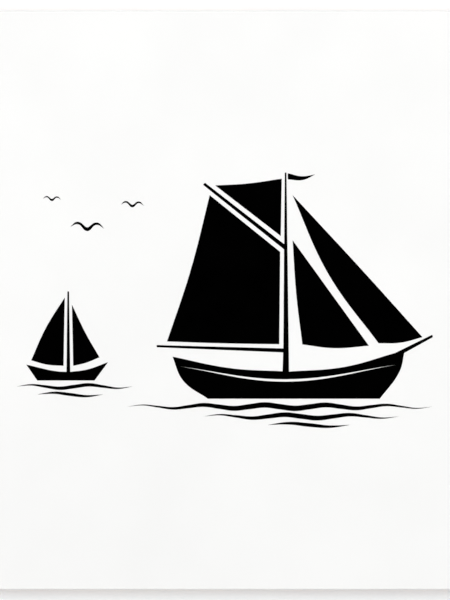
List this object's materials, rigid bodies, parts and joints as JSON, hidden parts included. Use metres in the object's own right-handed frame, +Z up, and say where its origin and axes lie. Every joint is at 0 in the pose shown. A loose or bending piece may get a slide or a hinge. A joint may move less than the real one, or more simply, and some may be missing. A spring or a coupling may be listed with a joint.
{
  "type": "square cork-backed drinks coaster",
  "caption": "Square drinks coaster: a hardboard tile with rounded corners, a gloss white face with a black silhouette print, and a granulated cork back.",
  "frame": {"origin": "on the surface that the coaster lies on, under the middle of the tile", "axes": "+Z up, out of the printed face; +Y towards the top of the printed picture; +X towards its right side"},
  "size_m": [0.095, 0.095, 0.0048],
  "materials": {
    "white_gloss_face": "hard white gloss coat, smooth",
    "black_print": "black ink in the gloss coat, smooth",
    "hardboard": "bare cut edge of pressed brown fibreboard, matte",
    "adhesive": "thin clear film, satin at its cut edge",
    "cork": "agglomerated cork, sanded, matte, with dark and light granules"
  },
  "bodies": {
    "root": {"white_face": "white_gloss_face", "hardboard_core": "hardboard", "adhesive_film": "adhesive", "cork_backing": "cork"}
  },
  "joints": []
}
